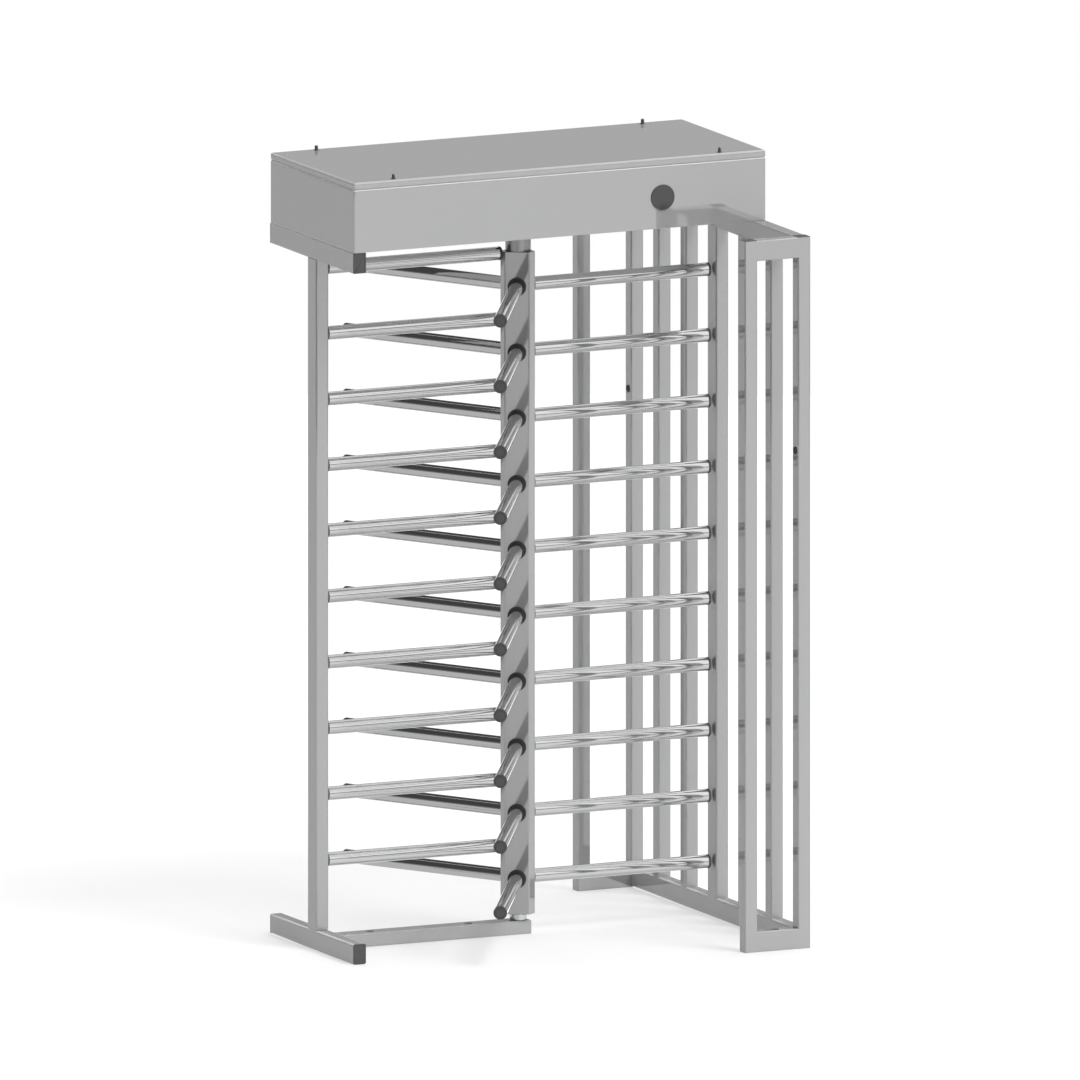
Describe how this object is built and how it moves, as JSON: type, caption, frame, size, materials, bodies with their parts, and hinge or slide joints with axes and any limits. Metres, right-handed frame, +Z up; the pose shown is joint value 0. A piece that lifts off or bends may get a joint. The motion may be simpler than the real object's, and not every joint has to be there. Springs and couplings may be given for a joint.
{
  "type": "full height turnstile",
  "caption": "Full height turnstile: a winged rotor of horizontal bars turns through a fixed comb beside a guard cage, under a header box with drive and lock bolts.",
  "frame": {"origin": "on the floor, on the rotor's vertical axis, which is the middle of the bounding box", "axes": "+X along the header towards the guard cage, -Y to the front with the indicator seen in the picture, +Z up along the rotor axis"},
  "size_m": [1.32, 1.18, 2.314],
  "materials": {
    "satin_steel": "satin brushed stainless steel tube",
    "header_steel": "smooth satin stainless sheet",
    "polished_steel": "polished stainless steel",
    "machined_steel": "turned and milled steel, lightly oiled",
    "black_plastic": "moulded dark grey plastic",
    "smoked_lens": "dark smoked plastic, light off",
    "motor_grey": "grey enamel"
  },
  "bodies": {
    "stand": {"comb_post": "satin_steel", "left_foot_beam": "satin_steel", "left_top_beam": "satin_steel", "floor_beam": "satin_steel", "guard_side_panel": "satin_steel", "guard_front_return": "satin_steel", "guard_back_return": "satin_steel", "header_case": "header_steel", "header_lid": "header_steel", "lower_pivot": "polished_steel", "header_beam": "machined_steel", "upper_bearing_housing": "machined_steel", "foot_beam_cap_front": "black_plastic", "foot_beam_cap_back": "black_plastic", "top_beam_cap_front": "black_plastic", "top_beam_cap_back": "black_plastic", "front_cable_grommet": "black_plastic", "back_cable_grommet": "black_plastic", "controller_box": "black_plastic", "front_indicator_lens": "smoked_lens", "rear_indicator_lens": "smoked_lens", "drive_motor": "motor_grey", "twin_lock_solenoid": "motor_grey"},
    "rotor": {"rotor_column": "satin_steel", "rotor_shaft": "machined_steel", "stop_wheel": "machined_steel", "rotor_gear": "machined_steel", "rotor_bar_a01": "polished_steel", "rotor_bar_a02": "polished_steel", "rotor_bar_a03": "polished_steel", "rotor_bar_a04": "polished_steel", "rotor_bar_a05": "polished_steel", "rotor_bar_a06": "polished_steel", "rotor_bar_a07": "polished_steel", "rotor_bar_a08": "polished_steel", "rotor_bar_a09": "polished_steel", "rotor_bar_a10": "polished_steel", "rotor_bar_b01": "polished_steel", "rotor_bar_b02": "polished_steel", "rotor_bar_b03": "polished_steel", "rotor_bar_b04": "polished_steel", "rotor_bar_b05": "polished_steel", "rotor_bar_b06": "polished_steel", "rotor_bar_b07": "polished_steel", "rotor_bar_b08": "polished_steel", "rotor_bar_b09": "polished_steel", "rotor_bar_b10": "polished_steel", "rotor_bar_c01": "polished_steel", "rotor_bar_c02": "polished_steel", "rotor_bar_c03": "polished_steel", "rotor_bar_c04": "polished_steel", "rotor_bar_c05": "polished_steel", "rotor_bar_c06": "polished_steel", "rotor_bar_c07": "polished_steel", "rotor_bar_c08": "polished_steel", "rotor_bar_c09": "polished_steel", "rotor_bar_c10": "polished_steel"},
    "drive_pinion": {"drive_pinion": "machined_steel"},
    "lock_bolt_in": {"lock_bolt_in": "machined_steel"},
    "lock_bolt_out": {"lock_bolt_out": "machined_steel"}
  },
  "joints": [
    {"name": "rotor_turn", "type": "hinge", "parent": "stand", "child": "rotor", "pos_m": [0, 0, 1], "axis": [0, 0, 1], "continuous": true},
    {"name": "pinion_spin", "type": "hinge", "parent": "stand", "child": "drive_pinion", "pos_m": [-0.132, 0, 2.1977], "axis": [0, 0, 1], "continuous": true},
    {"name": "lock_bolt_in_slide", "type": "slide", "parent": "stand", "child": "lock_bolt_in", "axis": [-1, 0, 0], "range_m": [0, 0.018], "stiffness_N_per_m": 300},
    {"name": "lock_bolt_out_slide", "type": "slide", "parent": "stand", "child": "lock_bolt_out", "axis": [-1, 0, 0], "range_m": [0, 0.018], "stiffness_N_per_m": 300}
  ],
  "couplings": [
    {"joint": "pinion_spin", "follows": "rotor_turn", "ratio": -2.6667}
  ]
}
